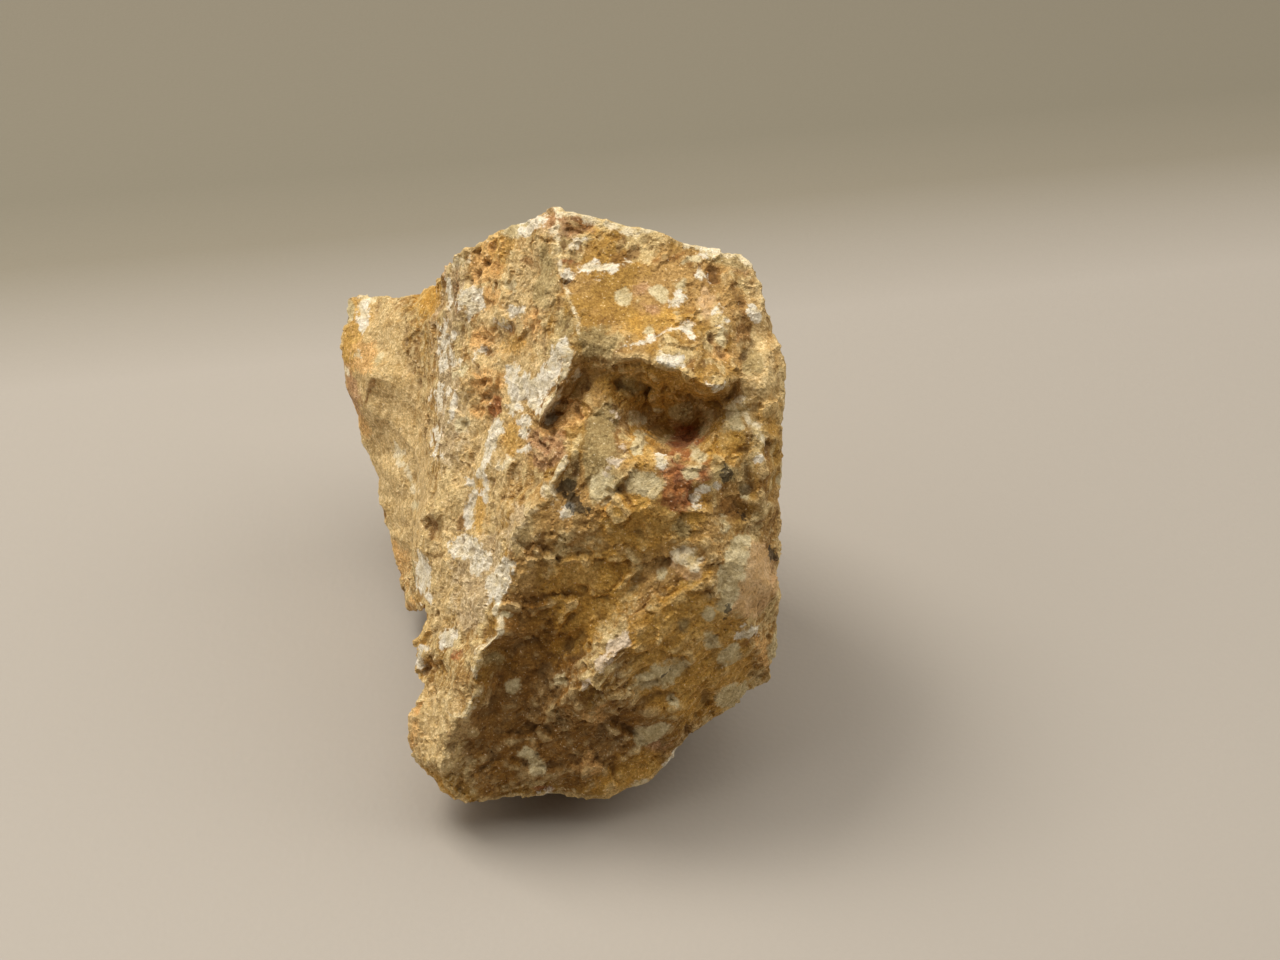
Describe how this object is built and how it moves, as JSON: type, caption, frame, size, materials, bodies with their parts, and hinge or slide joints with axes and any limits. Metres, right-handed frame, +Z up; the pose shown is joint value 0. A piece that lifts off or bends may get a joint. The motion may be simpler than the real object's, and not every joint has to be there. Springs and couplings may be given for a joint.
{
  "type": "rough stone",
  "caption": "Rough broken lump of spotted rock with a leaning front face, a hollow under a ledge and a side lobe, resting on a flat spot.",
  "frame": {"origin": "middle of the box, on the plane that the stone rests on", "axes": "+Z up, +Y towards the back, +X to the right of the broken front face"},
  "size_m": [0.083, 0.0972, 0.0929],
  "materials": {
    "spotted_rock": "rough broken rock, fawn and ochre with cream, grey-green and brick-red spots"
  },
  "bodies": {
    "root": {"stone": "spotted_rock"}
  },
  "joints": []
}
